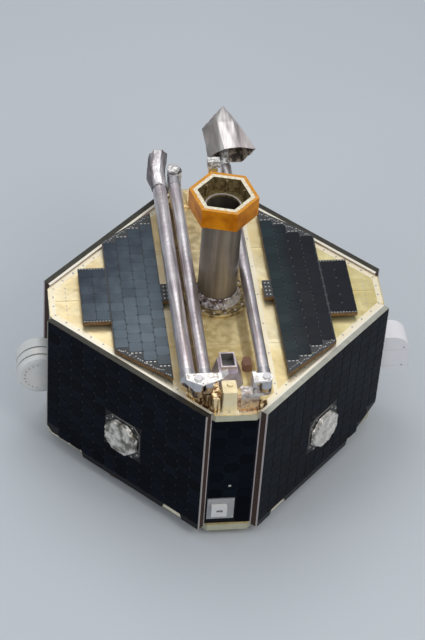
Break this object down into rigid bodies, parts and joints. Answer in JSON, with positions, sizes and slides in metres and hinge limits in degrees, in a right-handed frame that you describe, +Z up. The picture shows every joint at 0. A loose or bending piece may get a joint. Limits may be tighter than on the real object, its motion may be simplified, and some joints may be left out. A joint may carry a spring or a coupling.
{
  "type": "small spinning science satellite",
  "caption": "Faceted spin-stabilised science satellite, booms folded over its top deck, with a central mast carrying a hexagonal antenna collar, standing on its separation ring.",
  "frame": {"origin": "centre of the separation ring's lower face", "axes": "+Z up along the spin axis and mast, +Y to the far corner over which the boom sensors lie folded, +X to the corner with the telescope box"},
  "size_m": [1.142, 1.1364, 0.864],
  "materials": {
    "ring_aluminium": "machined, clear",
    "deck_foil": "pale gold film over the deck, glossy",
    "inner_structure": "plain sheet",
    "solar_cells": "dark blue-grey cover glass on a tan-edged plate",
    "side_cells": "navy black cover glass, light panel edges",
    "mast_composite": "grey-brown, semi-gloss",
    "silver_foil": "crinkled foil",
    "amber_collar": "amber film, satin",
    "hinge_metal": "machined",
    "boom_wrap": "wrinkled silver-mauve wrap",
    "instrument_silver": "taped foil",
    "instrument_grey": "light grey"
  },
  "bodies": {
    "bus": {"separation_ring": "ring_aluminium", "bottom_deck": "deck_foil", "top_deck": "deck_foil", "central_tube": "inner_structure", "equipment_box": "inner_structure", "top_array_left": "solar_cells", "top_array_right": "solar_cells", "bottom_array_left": "solar_cells", "bottom_array_right": "solar_cells", "mast_flange": "deck_foil", "mast_tube": "mast_composite", "mast_skirt": "silver_foil", "antenna_collar": "amber_collar", "far_bracket": "deck_foil", "far_hinge_pin": "hinge_metal", "elbow_tower": "deck_foil", "release_box": "deck_foil", "near_bracket": "silver_foil", "near_hinge_pin": "hinge_metal", "harness_block": "amber_collar", "connector_block": "instrument_grey", "coil_rest": "deck_foil", "deck_instrument": "instrument_silver", "sun_sensor": "instrument_grey", "analyser_drum": "instrument_silver", "telescope_box": "instrument_grey", "lower_axial_tube": "mast_composite", "thruster_near": "hinge_metal", "thruster_far": "hinge_metal", "side_panel_near_left": "side_cells", "wire_boom_plate_near_left": "side_cells", "wire_boom_cap_near_left": "silver_foil", "side_panel_near_right": "side_cells", "wire_boom_plate_near_right": "side_cells", "wire_boom_cap_near_right": "silver_foil", "side_panel_far_right": "side_cells", "wire_boom_plate_far_right": "side_cells", "wire_boom_cap_far_right": "silver_foil", "side_panel_far_left": "side_cells", "wire_boom_plate_far_left": "side_cells", "wire_boom_cap_far_left": "silver_foil", "corner_panel_left": "side_cells", "corner_panel_right": "side_cells", "corner_panel_near": "side_cells", "corner_panel_far": "side_cells"},
    "inner_boom": {"inner_boom_hub": "hinge_metal", "inner_boom_tube": "boom_wrap", "elbow_fork": "hinge_metal", "elbow_plate": "silver_foil", "elbow_pin": "hinge_metal"},
    "outer_boom": {"elbow_tongue": "hinge_metal", "outer_boom_tube": "boom_wrap", "magnetometer_can": "silver_foil"},
    "coil_boom": {"coil_boom_hub": "hinge_metal", "coil_boom_tube": "boom_wrap", "coil_neck": "boom_wrap", "coil_hood": "silver_foil"}
  },
  "joints": [
    {"name": "root_hinge", "type": "hinge", "parent": "bus", "child": "inner_boom", "pos_m": [-0.083, 0.437, 0.57], "axis": [0, 0, -1], "range_deg": [0, 180]},
    {"name": "elbow_hinge", "type": "hinge", "parent": "inner_boom", "child": "outer_boom", "pos_m": [-0.106, -0.446, 0.57], "axis": [0, 0, 1], "range_deg": [0, 180]},
    {"name": "coil_hinge", "type": "hinge", "parent": "bus", "child": "coil_boom", "pos_m": [0.077, -0.446, 0.57], "axis": [0, 0, -1], "range_deg": [0, 180]}
  ]
}
